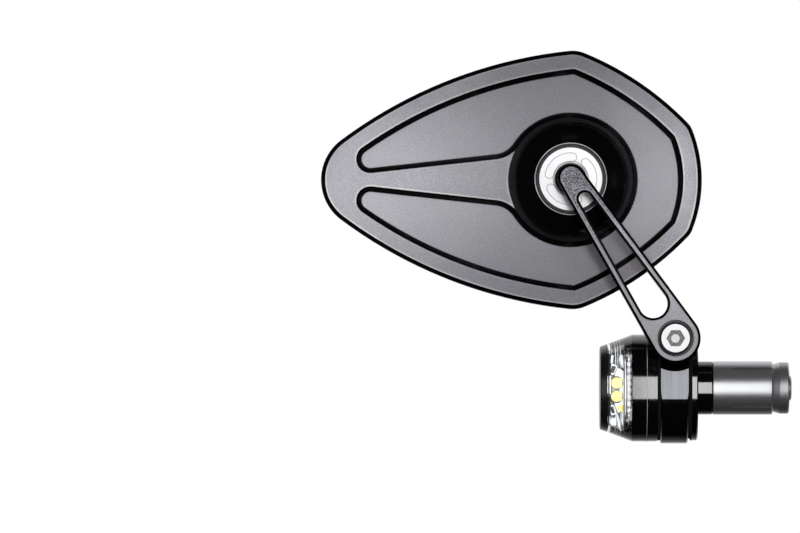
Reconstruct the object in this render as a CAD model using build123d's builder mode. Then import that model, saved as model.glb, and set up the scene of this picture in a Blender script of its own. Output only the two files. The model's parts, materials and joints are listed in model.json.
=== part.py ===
from build123d import *
import math
import os

os.makedirs("parts", exist_ok=True)

# Bar end mirror with a signal lamp, in millimetres.
# The origin is the centre of the handlebar's end face. X runs along the bar, and the
# handlebar lies at +X. Z is up. The mirror's milled back faces -Y, its glass faces +Y.

# Plug that sits inside the handlebar
plug_radius = 8.5
register_length = 5.0
sleeve_length = 19.0
sleeve_wall = 1.9
sleeve_gap = 0.1
sleeve_slot_width = 1.2
sleeve_slot_length = 13.0
sleeve_slots = 4
expander_angle = 17.0
expander_engagement = 3.0
cone_large_radius = 8.2
cone_collar = 3.0
bolt_radius = 4.0
bolt_bore_radius = 2.2
bolt_head_radius = 6.5
bolt_head_height = 4.5
bolt_hex = 6.0
bolt_hex_depth = 2.6
screw_clearance = 0.2

# Flange and neck that the clamp turns on
flange_width = 2.3
flange_groove_depth = 0.6
flange_groove_width = 0.75
neck_radius = 11.8
spigot_radius = 10.5
running_clearance = 0.05
edge_break = 0.4

# Clamp ring
ring_proud = 0.65
ring_width = 8.8
pad_cut = 0.4
boss_height = 2.15
boss_radius = 7.9
boss_foot_radius = 10.4
lug_cover = 5.5
lug_depth = 12.0
lug_round = 2.5
slit_width = 1.6

# Pivot screw, bush and washer
pivot_web = 0.35
screw_radius = 3.0
screw_length = 30.0
screw_head_radius = 4.95
screw_head_height = 4.0
screw_hex = 5.1
screw_hex_depth = 2.4
screw_pilot_radius = 1.4
screw_pilot_depth = 0.6
bush_wall = 1.3
bush_depth = 3.0
bush_flange_thickness = 0.7
washer_inset = 0.5
washer_thickness = 0.5

# Arm
arm_length = 60.8
arm_angle = 123.0
arm_thickness = 8.0
arm_ball_end_radius = 4.27
arm_pivot_end_radius = 7.94
arm_chamfer = 0.75
slot_to_ball = 7.9
slot_to_pivot = 13.1
slot_ball_end_radius = 1.95
slot_pivot_end_radius = 4.6
counterbore_gap = 0.55
counterbore_depth = 5.5

# Ball joint, with heights measured from the centre of the ball towards the arm
ball_radius = 5.6
ball_neck_radius = 3.0
ball_to_arm = 8.75
stud_collar_radius = 3.8
stud_collar_height = 0.8
stud_radius = 2.5
stud_depth = 5.5
liner_thickness = 0.75
liner_front_inset = 0.8
liner_rear_inset = 0.5
seat_wall = 2.15
seat_split = 0.3
seat_front_top = 3.95
seat_front_step = 1.4
seat_shoulder = 1.1
seat_rear_depth = 4.7
spring_width = 3.35
spring_thickness = 0.6
socket_floor_gap = 0.4

# Ring nut
nut_wall = 3.15
nut_face_chamfer = 0.7
nut_lip = 1.15
nut_hole_relief = 0.7
nut_step_gap = 0.15
kidney_inset = 1.95
kidney_width = 2.75
kidney_depth = 0.35
kidney_sweep = 82.0
kidney_angle = 6.5
kidney_count = 3

# Mirror head outline, seen on its back, about the centre of the hub
tip_x = -88.2
crown_x = 2.2
crown_z = 41.5
corner_x = 38.45
corner_z = 17.25
side_arc_radius = 148.0
shoulder_arc_radius = 97.0
rear_arc_radius = 43.5
tip_round = 15.9
crown_round = 10.4
corner_round = 6.5

# Mirror head section
plate_drop = 2.7
plate_thickness = 7.0
plate_chamfer = 1.3
glass_edge_break = 0.5
rim_width = 1.2
pane_recess_depth = 2.3
border_width = 5.95
pocket_depth = 1.7
wall_run = 1.65
pocket_crown_round = 2.3
pocket_corner_round = 3.7
lobe_round = 4.5
root_round = 9.4
tongue_slope = 6.3
tongue_half_width = 6.7
tongue_width_x = -22.3
hub_foot_radius = 21.55
hub_crown = 0.55
hub_lip = 0.85
nut_proud = 0.25

# Mirror glass and its pad
pane_gap = 0.15
pane_thickness = 2.0
pane_curve_radius = 1200.0
pad_thickness = 0.3

# Signal lamp
housing_radius = 17.1
housing_step_depth = 0.3
housing_step_width = 0.85
housing_width = 3.2
lens_ring_width = 4.9
lens_ring_wall = 1.45
lens_small_radius = 14.05
lens_length = 7.96
lens_wall = 2.0
skirt_length = 3.4
skirt_wall = 1.4
cap_width = 2.31
cap_taper = 0.85
cap_edge_round = 0.6
cap_spigot_length = 1.4
cap_spigot_gap = 0.15
cap_groove_depth = 0.6
cap_seal_radius = 0.4
lens_seal_radius = 0.65

# Light engine inside the lens, with reaches measured back from the cap's spigot
carrier_base_thickness = 1.5
carrier_depth = 12.6
carrier_height = 14.0
board_thickness = 1.2
board_bulge_reach = 0.46
board_top_reach = 2.16
board_bottom_reach = 2.36
board_inner_reach = 4.61
board_top_z = 6.3
board_corner_top = 4.9
board_corner_bottom = -5.9
board_bottom_z = -8.1
dome_radius = 1.75
dome_round = 1.4
dome_reach = 1.81
dome_top_z = 1.44
dome_bottom_z = -2.72
reflector_length = 5.9
reflector_wall = 0.8
reflector_gap = 0.3
reflector_facets = 24

# Stations along the bar, each from the one before it
x_groove = -flange_width
x_neck = x_groove - flange_groove_width
x_ring_inner = x_neck - running_clearance
x_ring_outer = x_ring_inner - ring_width
x_housing_back = x_ring_outer - running_clearance
x_housing_step = x_housing_back - housing_step_width
x_housing_front = x_housing_step - housing_width
x_lens_ring_front = x_housing_front - lens_ring_width
x_lens_front = x_lens_ring_front - lens_length
x_cap_front = x_lens_front - cap_width
x_skirt_end = x_lens_ring_front + skirt_length
x_bolt_seat = x_housing_front + bolt_head_height + edge_break
x_sleeve_start = register_length + sleeve_gap
x_sleeve_end = x_sleeve_start + sleeve_length

# Radii that line up along the outside of the bar end
housing_step_radius = housing_radius - housing_step_depth
flange_radius = housing_step_radius
ring_radius = housing_radius + ring_proud

# Levels in front of the bar's axis, each from the one before it
pad_height = ring_radius - pad_cut
boss_face = pad_height + boss_height
arm_back = boss_face + washer_thickness
arm_front = arm_back + arm_thickness
counterbore_floor = arm_front - counterbore_depth
screw_seat = counterbore_floor + bush_flange_thickness
ball_height = arm_back - ball_to_arm

# Radii that nest at the pivot, from the screw outwards, and its place above the neck
bush_bore = screw_radius + screw_clearance
bush_radius = bush_bore + bush_wall
arm_bore = bush_radius + running_clearance
counterbore_radius = screw_head_radius + counterbore_gap
bush_flange_radius = counterbore_radius - screw_clearance
washer_radius = boss_radius - washer_inset
ring_bore = neck_radius + running_clearance
pivot_z = ring_bore + pivot_web + bush_bore
lug_top = pivot_z + lug_cover

# Radii and heights that nest in the ball joint, from the ball outwards
liner_inner = ball_radius + running_clearance
liner_outer = liner_inner + liner_thickness
liner_front = seat_front_top - liner_front_inset
liner_rear = seat_rear_depth - liner_rear_inset
seat_sphere = liner_outer + running_clearance
seat_radius = seat_sphere + seat_wall
seat_boss_radius = seat_radius - seat_shoulder
socket_floor = ball_radius + socket_floor_gap
nut_bore = seat_boss_radius + running_clearance
nut_radius = nut_bore + nut_wall
nut_base = seat_front_step + nut_step_gap
nut_step = seat_front_top + running_clearance
nut_face_height = nut_step + nut_lip
hub_top_radius = nut_radius + hub_lip
hub_top_height = nut_face_height - nut_proud

# Pivot and ball
pivot_x = (x_ring_inner + x_ring_outer) / 2
arm_direction = Vector(1, 0, 0).rotate(Axis((0, 0, 0), (0, -1, 0)), arm_angle)
ball_x = pivot_x + arm_length * arm_direction.X
ball_z = pivot_z + arm_length * arm_direction.Z

# Planes that face the viewer of the mirror's back
front_plane = Plane.XZ
arm_plane = Plane(
    origin=(pivot_x, -arm_back, pivot_z), x_dir=arm_direction, z_dir=(0, -1, 0)
)
head_plane = Plane(origin=(ball_x, -ball_height, ball_z), x_dir=(1, 0, 0), z_dir=(0, -1, 0))

# Planes that hold the axis of what is turned: radius along X, height towards the arm
pivot_section = Plane(origin=(pivot_x, 0, pivot_z), x_dir=(1, 0, 0), z_dir=(0, 0, -1))
ball_section = Plane(origin=(ball_x, -ball_height, ball_z), x_dir=(1, 0, 0), z_dir=(0, 0, -1))
pivot_axis = Axis((pivot_x, 0, pivot_z), (0, -1, 0))
ball_axis = Axis((ball_x, -ball_height, ball_z), (0, -1, 0))


def on_sphere(radius, height):
    """Distance from the axis at which a sphere of this radius has this height."""
    return math.sqrt(radius**2 - height**2)


# Adapter: register in the bar, flange, grooved neck and lamp spigot, bored for the bolt
with BuildPart() as bar_end_adapter:
    with BuildSketch(front_plane):
        with BuildLine():
            Polyline(
                (x_housing_front, bolt_head_radius + screw_clearance),
                (x_housing_front, spigot_radius),
                (x_housing_back, spigot_radius),
                (x_housing_back, neck_radius),
                (x_neck, neck_radius),
                (x_neck, flange_radius - flange_groove_depth),
                (x_groove, flange_radius - flange_groove_depth),
                (x_groove, flange_radius),
                (-edge_break, flange_radius),
                (0, flange_radius - edge_break),
                (0, plug_radius),
                (register_length - edge_break, plug_radius),
                (register_length, plug_radius - edge_break),
                (register_length, bolt_radius + screw_clearance),
                (x_bolt_seat, bolt_radius + screw_clearance),
                (x_bolt_seat, bolt_head_radius + screw_clearance),
                close=True,
            )
        make_face()
    revolve(axis=Axis.X)
bar_end_adapter.part.label = "bar_end_adapter"
export_step(bar_end_adapter.part, "parts/bar_end_adapter.step")

# Expander: a slotted sleeve, a taper nut and the hollow bolt that draws them together
sleeve_bore = plug_radius - sleeve_wall
sleeve_mouth = sleeve_bore + expander_engagement * math.tan(math.radians(expander_angle))
cone_run = (cone_large_radius - sleeve_mouth) / math.tan(math.radians(expander_angle))
x_cone_full = x_sleeve_end + cone_run
x_cone_end = x_cone_full + cone_collar

with BuildPart() as expander_sleeve:
    with BuildSketch(front_plane):
        with BuildLine():
            Polyline(
                (x_sleeve_start, sleeve_bore),
                (x_sleeve_end - expander_engagement, sleeve_bore),
                (x_sleeve_end, sleeve_mouth),
                (x_sleeve_end, plug_radius - edge_break),
                (x_sleeve_end - edge_break, plug_radius),
                (x_sleeve_start, plug_radius),
                close=True,
            )
        make_face()
    revolve(axis=Axis.X)
    with BuildSketch(Plane.YZ.offset(x_sleeve_end)):
        with PolarLocations(plug_radius - sleeve_wall / 2, sleeve_slots, start_angle=45):
            Rectangle(2 * sleeve_wall, sleeve_slot_width)
    extrude(amount=-sleeve_slot_length, mode=Mode.SUBTRACT)
expander_sleeve.part.label = "expander_sleeve"
export_step(expander_sleeve.part, "parts/expander_sleeve.step")

with BuildPart() as expander_cone:
    with BuildSketch(front_plane):
        with BuildLine():
            Polyline(
                (x_sleeve_end - expander_engagement, bolt_radius),
                (x_sleeve_end - expander_engagement, sleeve_bore),
                (x_cone_full, cone_large_radius),
                (x_cone_end - edge_break, cone_large_radius),
                (x_cone_end, cone_large_radius - edge_break),
                (x_cone_end, bolt_radius),
                close=True,
            )
        make_face()
    revolve(axis=Axis.X)
expander_cone.part.label = "expander_cone"
export_step(expander_cone.part, "parts/expander_cone.step")

with BuildPart() as expander_bolt:
    with BuildSketch(front_plane):
        with BuildLine():
            Polyline(
                (x_bolt_seat - bolt_head_height, bolt_bore_radius),
                (x_bolt_seat - bolt_head_height, bolt_head_radius - edge_break),
                (x_bolt_seat - bolt_head_height + edge_break, bolt_head_radius),
                (x_bolt_seat, bolt_head_radius),
                (x_bolt_seat, bolt_radius),
                (x_cone_end + edge_break, bolt_radius),
                (x_cone_end + 2 * edge_break, bolt_radius - edge_break),
                (x_cone_end + 2 * edge_break, bolt_bore_radius),
                close=True,
            )
        make_face()
    revolve(axis=Axis.X)
    with BuildSketch(Plane.YZ.offset(x_bolt_seat - bolt_head_height)):
        RegularPolygon(bolt_hex / 2, 6, major_radius=False)
    extrude(amount=bolt_hex_depth, mode=Mode.SUBTRACT)
expander_bolt.part.label = "expander_bolt"
export_step(expander_bolt.part, "parts/expander_bolt.step")

# Clamp ring: turned ring with a flat front pad, a coned boss for the arm and a split lug
screw_tip = screw_seat - screw_length

with BuildPart() as clamp_ring:
    with BuildSketch(Plane.YZ.offset(x_ring_outer)):
        Circle(ring_radius)
        with BuildLine():
            Polyline(
                (-pad_height, 0),
                (-pad_height, lug_top),
                (lug_depth, lug_top),
                (lug_depth, 0),
                close=True,
            )
        make_face()
    extrude(amount=ring_width)
    ring_ends = clamp_ring.edges().filter_by(GeomType.CIRCLE)
    chamfer(ring_ends, length=edge_break)
    rear_top = clamp_ring.edges().filter_by(Axis.X).group_by(Axis.Z)[-1].sort_by(Axis.Y)[-1]
    fillet(rear_top, radius=lug_round)
    with BuildSketch(Plane.YZ.offset(x_ring_outer)):
        with Locations((-pad_height, 0)):
            Rectangle(ring_radius, 3 * lug_top, align=(Align.MAX, Align.CENTER))
    extrude(amount=ring_width, mode=Mode.SUBTRACT)
    with Locations(Plane(origin=(pivot_x, -pad_height, pivot_z), z_dir=(0, -1, 0))):
        Cone(
            bottom_radius=boss_foot_radius,
            top_radius=boss_radius,
            height=boss_height,
            align=(Align.CENTER, Align.CENTER, Align.MIN),
        )
    with Locations((pivot_x, 0, lug_top)):
        Box(
            ring_width,
            4 * ring_radius,
            4 * ring_radius,
            align=(Align.CENTER, Align.CENTER, Align.MAX),
            mode=Mode.INTERSECT,
        )
    with Locations(Plane.YZ.offset(x_ring_outer)):
        Cylinder(
            ring_bore,
            ring_width,
            align=(Align.CENTER, Align.CENTER, Align.MIN),
            mode=Mode.SUBTRACT,
        )
    with Locations((pivot_x, 0, 0)):
        Box(
            2 * ring_width,
            slit_width,
            2 * lug_top,
            align=(Align.CENTER, Align.CENTER, Align.MIN),
            mode=Mode.SUBTRACT,
        )
    with BuildSketch(pivot_section):
        with BuildLine():
            Polyline(
                (0, -lug_depth),
                (screw_radius, -lug_depth),
                (screw_radius, 0),
                (bush_bore, 0),
                (bush_bore, boss_face - bush_depth),
                (arm_bore, boss_face - bush_depth),
                (arm_bore, boss_face),
                (0, boss_face),
                close=True,
            )
        make_face()
    revolve(axis=pivot_axis, mode=Mode.SUBTRACT)
clamp_ring.part.label = "clamp_ring"
export_step(clamp_ring.part, "parts/clamp_ring.step")

# Pivot screw with a low head, a hexagon socket and a drilled pilot below it
with BuildPart() as pivot_screw:
    with BuildSketch(pivot_section):
        with BuildLine():
            Polyline(
                (0, screw_tip),
                (screw_radius - edge_break, screw_tip),
                (screw_radius, screw_tip + edge_break),
                (screw_radius, screw_seat),
                (screw_head_radius, screw_seat),
                (screw_head_radius, screw_seat + screw_head_height - edge_break),
                (screw_head_radius - edge_break, screw_seat + screw_head_height),
                (0, screw_seat + screw_head_height),
                close=True,
            )
        make_face()
    revolve(axis=pivot_axis)
    head_top = Plane(
        origin=(pivot_x, -(screw_seat + screw_head_height), pivot_z), z_dir=(0, -1, 0)
    )
    with BuildSketch(head_top):
        RegularPolygon(screw_hex / 2, 6, major_radius=False)
    extrude(amount=-screw_hex_depth, mode=Mode.SUBTRACT)
    with BuildSketch(head_top):
        Circle(screw_pilot_radius)
    extrude(amount=-(screw_hex_depth + screw_pilot_depth), mode=Mode.SUBTRACT)
pivot_screw.part.label = "pivot_screw"
export_step(pivot_screw.part, "parts/pivot_screw.step")

# Flanged bush that the arm turns on, let into the boss
with BuildPart() as pivot_bush:
    with BuildSketch(pivot_section):
        with BuildLine():
            Polyline(
                (bush_bore, boss_face - bush_depth),
                (bush_radius, boss_face - bush_depth),
                (bush_radius, counterbore_floor + running_clearance),
                (bush_flange_radius, counterbore_floor + running_clearance),
                (bush_flange_radius, screw_seat),
                (bush_bore, screw_seat),
                close=True,
            )
        make_face()
    revolve(axis=pivot_axis)
pivot_bush.part.label = "pivot_bush"
export_step(pivot_bush.part, "parts/pivot_bush.step")

with BuildPart() as friction_washer:
    with BuildSketch(pivot_section):
        with BuildLine():
            Polyline(
                (arm_bore, boss_face),
                (washer_radius, boss_face),
                (washer_radius, arm_back - running_clearance),
                (arm_bore, arm_back - running_clearance),
                close=True,
            )
        make_face()
    revolve(axis=pivot_axis)
friction_washer.part.label = "friction_washer"
export_step(friction_washer.part, "parts/friction_washer.step")

# Arm: tapered bar with a tapered slot, a stepped hole for the screw and one for the stud
with BuildPart() as mirror_arm:
    with BuildSketch(arm_plane):
        Circle(arm_pivot_end_radius)
        with Locations((arm_length, 0)):
            Circle(arm_ball_end_radius)
        make_hull()
    extrude(amount=arm_thickness)
    with BuildSketch(arm_plane):
        with Locations((slot_to_pivot, 0)):
            Circle(slot_pivot_end_radius)
        with Locations((arm_length - slot_to_ball, 0)):
            Circle(slot_ball_end_radius)
        make_hull()
    extrude(amount=arm_thickness, mode=Mode.SUBTRACT)
    arm_face = mirror_arm.faces().sort_by(Axis.Y)[0]
    chamfer(arm_face.edges(), length=arm_chamfer)
    with Locations(arm_plane.offset(arm_thickness)):
        CounterBoreHole(
            radius=arm_bore,
            counter_bore_radius=counterbore_radius,
            counter_bore_depth=counterbore_depth,
        )
    with BuildSketch(arm_plane):
        with Locations((arm_length, 0)):
            Circle(stud_radius)
    extrude(amount=stud_depth, mode=Mode.SUBTRACT)
mirror_arm.part.label = "mirror_arm"
export_step(mirror_arm.part, "parts/mirror_arm.step")

# Ball stud: ball, neck, collar against the arm and a shank let into the arm
neck_start = on_sphere(ball_radius, ball_neck_radius)

with BuildPart() as ball_stud:
    with BuildSketch(ball_section):
        with BuildLine():
            ThreePointArc((0, -ball_radius), (ball_radius, 0), (ball_neck_radius, neck_start))
            Polyline(
                (ball_neck_radius, neck_start),
                (ball_neck_radius, ball_to_arm - stud_collar_height),
                (stud_collar_radius, ball_to_arm - stud_collar_height),
                (stud_collar_radius, ball_to_arm),
                (stud_radius, ball_to_arm),
                (stud_radius, ball_to_arm + stud_depth),
                (0, ball_to_arm + stud_depth),
                (0, -ball_radius),
            )
        make_face()
    revolve(axis=ball_axis)
ball_stud.part.label = "ball_stud"
export_step(ball_stud.part, "parts/ball_stud.step")

# Liner: a spherical shell that hugs the ball, open at both ends
with BuildPart() as ball_liner:
    with BuildSketch(ball_section):
        with BuildLine():
            ThreePointArc(
                (on_sphere(liner_inner, liner_rear), -liner_rear),
                (liner_inner, 0),
                (on_sphere(liner_inner, liner_front), liner_front),
            )
            Line(
                (on_sphere(liner_inner, liner_front), liner_front),
                (on_sphere(liner_outer, liner_front), liner_front),
            )
            ThreePointArc(
                (on_sphere(liner_outer, liner_front), liner_front),
                (liner_outer, 0),
                (on_sphere(liner_outer, liner_rear), -liner_rear),
            )
            Line(
                (on_sphere(liner_outer, liner_rear), -liner_rear),
                (on_sphere(liner_inner, liner_rear), -liner_rear),
            )
        make_face()
    revolve(axis=ball_axis)
ball_liner.part.label = "ball_liner"
export_step(ball_liner.part, "parts/ball_liner.step")

# Seats: two rings with one spherical bore, split at the ball's equator
seat_gap = seat_split / 2

with BuildPart() as ball_seat_front:
    with BuildSketch(ball_section):
        with BuildLine():
            ThreePointArc(
                (on_sphere(seat_sphere, seat_gap), seat_gap),
                (on_sphere(seat_sphere, seat_front_top / 2), seat_front_top / 2),
                (on_sphere(seat_sphere, seat_front_top), seat_front_top),
            )
            Polyline(
                (on_sphere(seat_sphere, seat_front_top), seat_front_top),
                (seat_boss_radius, seat_front_top),
                (seat_boss_radius, seat_front_step),
                (seat_radius, seat_front_step),
                (seat_radius, seat_gap),
                (on_sphere(seat_sphere, seat_gap), seat_gap),
            )
        make_face()
    revolve(axis=ball_axis)
ball_seat_front.part.label = "ball_seat_front"
export_step(ball_seat_front.part, "parts/ball_seat_front.step")

with BuildPart() as ball_seat_rear:
    with BuildSketch(ball_section):
        with BuildLine():
            ThreePointArc(
                (on_sphere(seat_sphere, seat_gap), -seat_gap),
                (on_sphere(seat_sphere, seat_rear_depth / 2), -seat_rear_depth / 2),
                (on_sphere(seat_sphere, seat_rear_depth), -seat_rear_depth),
            )
            Polyline(
                (on_sphere(seat_sphere, seat_rear_depth), -seat_rear_depth),
                (seat_radius, -seat_rear_depth),
                (seat_radius, -seat_gap),
                (on_sphere(seat_sphere, seat_gap), -seat_gap),
            )
        make_face()
    revolve(axis=ball_axis)
ball_seat_rear.part.label = "ball_seat_rear"
export_step(ball_seat_rear.part, "parts/ball_seat_rear.step")

# Disc spring between the floor of the hub and the rear seat
spring_outer_radius = seat_radius - running_clearance
spring_inner_radius = spring_outer_radius - spring_width
spring_top = -seat_rear_depth - running_clearance

with BuildPart() as socket_spring:
    with BuildSketch(ball_section):
        with BuildLine():
            Polyline(
                (spring_outer_radius, -socket_floor),
                (spring_outer_radius, -socket_floor + spring_thickness),
                (spring_inner_radius, spring_top),
                (spring_inner_radius, spring_top - spring_thickness),
                close=True,
            )
        make_face()
    revolve(axis=ball_axis)
socket_spring.part.label = "socket_spring"
export_step(socket_spring.part, "parts/socket_spring.step")

# Ring nut: threads into the hub and bears on the front seat
nut_hole_radius = on_sphere(seat_sphere, seat_front_top) + nut_hole_relief
kidney_radius = nut_hole_radius + kidney_inset

with BuildPart() as ring_nut:
    with BuildSketch(ball_section):
        with BuildLine():
            Polyline(
                (nut_bore, nut_base),
                (nut_radius, nut_base),
                (nut_radius, nut_face_height - nut_face_chamfer),
                (nut_radius - nut_face_chamfer, nut_face_height),
                (nut_hole_radius, nut_face_height),
                (nut_hole_radius, nut_step),
                (nut_bore, nut_step),
                close=True,
            )
        make_face()
    revolve(axis=ball_axis)
    kidney_arc = Edge.make_circle(
        kidney_radius, start_angle=-kidney_sweep / 2, end_angle=kidney_sweep / 2
    )
    with BuildSketch(head_plane.offset(nut_face_height)):
        with PolarLocations(0, kidney_count, start_angle=kidney_angle):
            SlotArc(kidney_arc, kidney_width)
    extrude(amount=-kidney_depth, mode=Mode.SUBTRACT)
ring_nut.part.label = "ring_nut"
export_step(ring_nut.part, "parts/ring_nut.step")


def head_outline(inset, tip_fillet, crown_fillet, corner_fillet):
    """Outline of the mirror head: five arcs between five corners, moved inwards and rounded."""
    with BuildSketch() as outline:
        with BuildLine():
            RadiusArc((tip_x, 0), (crown_x, crown_z), side_arc_radius)
            RadiusArc((crown_x, crown_z), (corner_x, corner_z), shoulder_arc_radius)
            RadiusArc((corner_x, corner_z), (corner_x, -corner_z), rear_arc_radius)
            RadiusArc((corner_x, -corner_z), (crown_x, -crown_z), shoulder_arc_radius)
            RadiusArc((crown_x, -crown_z), (tip_x, 0), side_arc_radius)
        make_face()
        if inset:
            offset(amount=-inset, kind=Kind.INTERSECTION)
        fillet(outline.vertices().group_by(Axis.X)[-1], radius=corner_fillet)
        heights = outline.vertices().group_by(Axis.Y)
        fillet(heights[0] + heights[-1], radius=crown_fillet)
        if tip_fillet:
            fillet(outline.vertices().group_by(Axis.X)[0], radius=tip_fillet)
    return outline.sketch


# Mirror body: plate with a sunk pocket round a tongue and a hub that holds the ball joint
plate_back = -plate_drop
plate_front = plate_back - plate_thickness
pocket_floor = plate_back - pocket_depth
recess_floor = plate_front + pane_recess_depth
hub_rim_radius = hub_foot_radius - pocket_depth
hub_slope_middle = Vector(
    (hub_rim_radius + hub_top_radius) / 2 + hub_crown,
    (plate_back + hub_top_height) / 2 + hub_crown,
)
tongue_rise = math.tan(math.radians(tongue_slope))
tongue_half_at_hub = tongue_half_width - tongue_rise * tongue_width_x
tongue_apex = -tongue_half_at_hub / tongue_rise

# The pocket's shape is cut at the level of the border, and its walls lean in below that
with BuildPart() as pocket_cutter:
    with BuildSketch(head_plane.offset(plate_back)) as pocket:
        add(head_outline(border_width, 0, pocket_crown_round, pocket_corner_round))
        Circle(hub_rim_radius, mode=Mode.SUBTRACT)
        with BuildLine():
            Polyline(
                (0, tongue_half_at_hub),
                (tongue_apex, 0),
                (0, -tongue_half_at_hub),
                close=True,
            )
        make_face(mode=Mode.SUBTRACT)
        fillet(pocket.vertices().sort_by(Axis.X)[:2], radius=lobe_round)
        fillet(pocket.vertices().sort_by_distance((0, 0, 0))[:2], radius=root_round)
    extrude(amount=-pocket_depth)
    chamfer(pocket_cutter.faces().sort_by(Axis.Y)[-1].edges(), length=wall_run)

with BuildPart() as mirror_body:
    with BuildSketch(head_plane.offset(plate_back)):
        add(head_outline(0, tip_round, crown_round, corner_round))
    extrude(amount=-plate_thickness)
    back_face = mirror_body.faces().sort_by(Axis.Y)[0]
    chamfer(back_face.edges(), length=plate_chamfer)
    glass_face = mirror_body.faces().sort_by(Axis.Y)[-1]
    chamfer(glass_face.edges(), length=glass_edge_break)
    add(pocket_cutter.part, mode=Mode.SUBTRACT)
    with BuildSketch(ball_section):
        with BuildLine():
            Polyline((hub_top_radius, hub_top_height), (0, hub_top_height), (0, pocket_floor))
            Polyline((0, pocket_floor), (hub_rim_radius, pocket_floor), (hub_rim_radius, plate_back))
            ThreePointArc(
                (hub_rim_radius, plate_back),
                hub_slope_middle,
                (hub_top_radius, hub_top_height),
            )
        make_face()
    revolve(axis=ball_axis)
    with BuildSketch(ball_section):
        with BuildLine():
            Polyline(
                (0, -socket_floor),
                (seat_radius + running_clearance, -socket_floor),
                (seat_radius + running_clearance, nut_base),
                (nut_radius + running_clearance, nut_base),
                (nut_radius + running_clearance, hub_top_height),
                (0, hub_top_height),
                close=True,
            )
        make_face()
    revolve(axis=ball_axis, mode=Mode.SUBTRACT)
    with BuildSketch(head_plane.offset(plate_front)):
        add(
            head_outline(
                rim_width, tip_round - rim_width, crown_round - rim_width, corner_round - rim_width
            )
        )
    extrude(amount=pane_recess_depth, mode=Mode.SUBTRACT)
mirror_body.part.label = "mirror_body"
export_step(mirror_body.part, "parts/mirror_body.step")

# Mirror glass: a curved pane cut to the recess, bonded on a pad that fills the hollow behind
pane_inset = rim_width + pane_gap
pad_inset = pane_inset + rim_width
pane_outline = head_outline(
    pane_inset, tip_round - pane_inset, crown_round - pane_inset, corner_round - pane_inset
)
pane_box = pane_outline.bounding_box()
pane_half_length = pane_box.size.X / 2
pane_bulge = pane_curve_radius - on_sphere(pane_curve_radius, pane_half_length)
pane_edge_front = recess_floor - pad_thickness - pane_thickness
pane_centre = Plane(
    origin=head_plane.from_local_coords(
        (pane_box.center().X, 0, pane_edge_front - pane_bulge + pane_curve_radius)
    )
)

with BuildPart() as mirror_pane:
    with BuildSketch(head_plane.offset(recess_floor)):
        add(pane_outline)
    extrude(amount=-(plate_thickness + pane_bulge))
    with Locations(pane_centre):
        Sphere(pane_curve_radius, mode=Mode.INTERSECT)
        Sphere(pane_curve_radius - pane_thickness, mode=Mode.SUBTRACT)
mirror_pane.part.label = "mirror_pane"
export_step(mirror_pane.part, "parts/mirror_pane.step")

with BuildPart() as pane_pad:
    with BuildSketch(head_plane.offset(recess_floor)):
        add(
            head_outline(
                pad_inset, tip_round - pad_inset, crown_round - pad_inset, corner_round - pad_inset
            )
        )
    extrude(amount=-(plate_thickness + pane_bulge))
    with Locations(pane_centre):
        Sphere(pane_curve_radius - pane_thickness, mode=Mode.INTERSECT)
pane_pad.part.label = "pane_pad"
export_step(pane_pad.part, "parts/pane_pad.step")

# Lamp housing: screws onto the spigot and keeps the clamp ring on the neck
lens_ring_bore = housing_radius - lens_ring_wall
skirt_radius = lens_ring_bore - running_clearance

with BuildPart() as lamp_housing:
    with BuildSketch(front_plane):
        with BuildLine():
            Polyline(
                (x_housing_back, spigot_radius),
                (x_housing_back, housing_step_radius),
                (x_housing_step, housing_step_radius),
                (x_housing_step, housing_radius - edge_break / 2),
                (x_housing_step - edge_break / 2, housing_radius),
                (x_housing_front, housing_radius),
                (x_housing_front, spigot_radius),
                close=True,
            )
        make_face()
    revolve(axis=Axis.X)
lamp_housing.part.label = "lamp_housing"
export_step(lamp_housing.part, "parts/lamp_housing.step")

# Lens: a conical window with a skirt that sits in the lens ring
skirt_bore = skirt_radius - skirt_wall
lens_large_radius = housing_radius - running_clearance
lens_mouth = lens_small_radius - lens_wall
lens_slope = (lens_large_radius - lens_small_radius) / lens_length
x_lens_shoulder = x_lens_front + (skirt_bore - lens_mouth) / lens_slope

with BuildPart() as lamp_lens:
    with BuildSketch(front_plane):
        with BuildLine():
            Polyline(
                (x_lens_front, lens_mouth),
                (x_lens_front, lens_small_radius),
                (x_lens_ring_front, lens_large_radius),
                (x_lens_ring_front, skirt_radius),
                (x_skirt_end, skirt_radius),
                (x_skirt_end, skirt_bore),
                (x_lens_shoulder, skirt_bore),
                close=True,
            )
        make_face()
    revolve(axis=Axis.X)
lamp_lens.part.label = "lamp_lens"
export_step(lamp_lens.part, "parts/lamp_lens.step")

with BuildPart() as lens_ring:
    with BuildSketch(front_plane):
        with BuildLine():
            Polyline(
                (x_housing_front, lens_ring_bore),
                (x_housing_front, housing_radius),
                (x_lens_ring_front, housing_radius),
                (x_lens_ring_front, lens_ring_bore),
                close=True,
            )
        make_face()
    revolve(axis=Axis.X)
lens_ring.part.label = "lens_ring"
export_step(lens_ring.part, "parts/lens_ring.step")

# End cap with a grooved spigot that plugs the lens
x_cap_spigot = x_lens_front + cap_spigot_length
x_cap_groove = x_lens_front + cap_spigot_length / 2
cap_spigot_radius = lens_mouth - cap_spigot_gap
groove_half = cap_seal_radius + running_clearance

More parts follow.
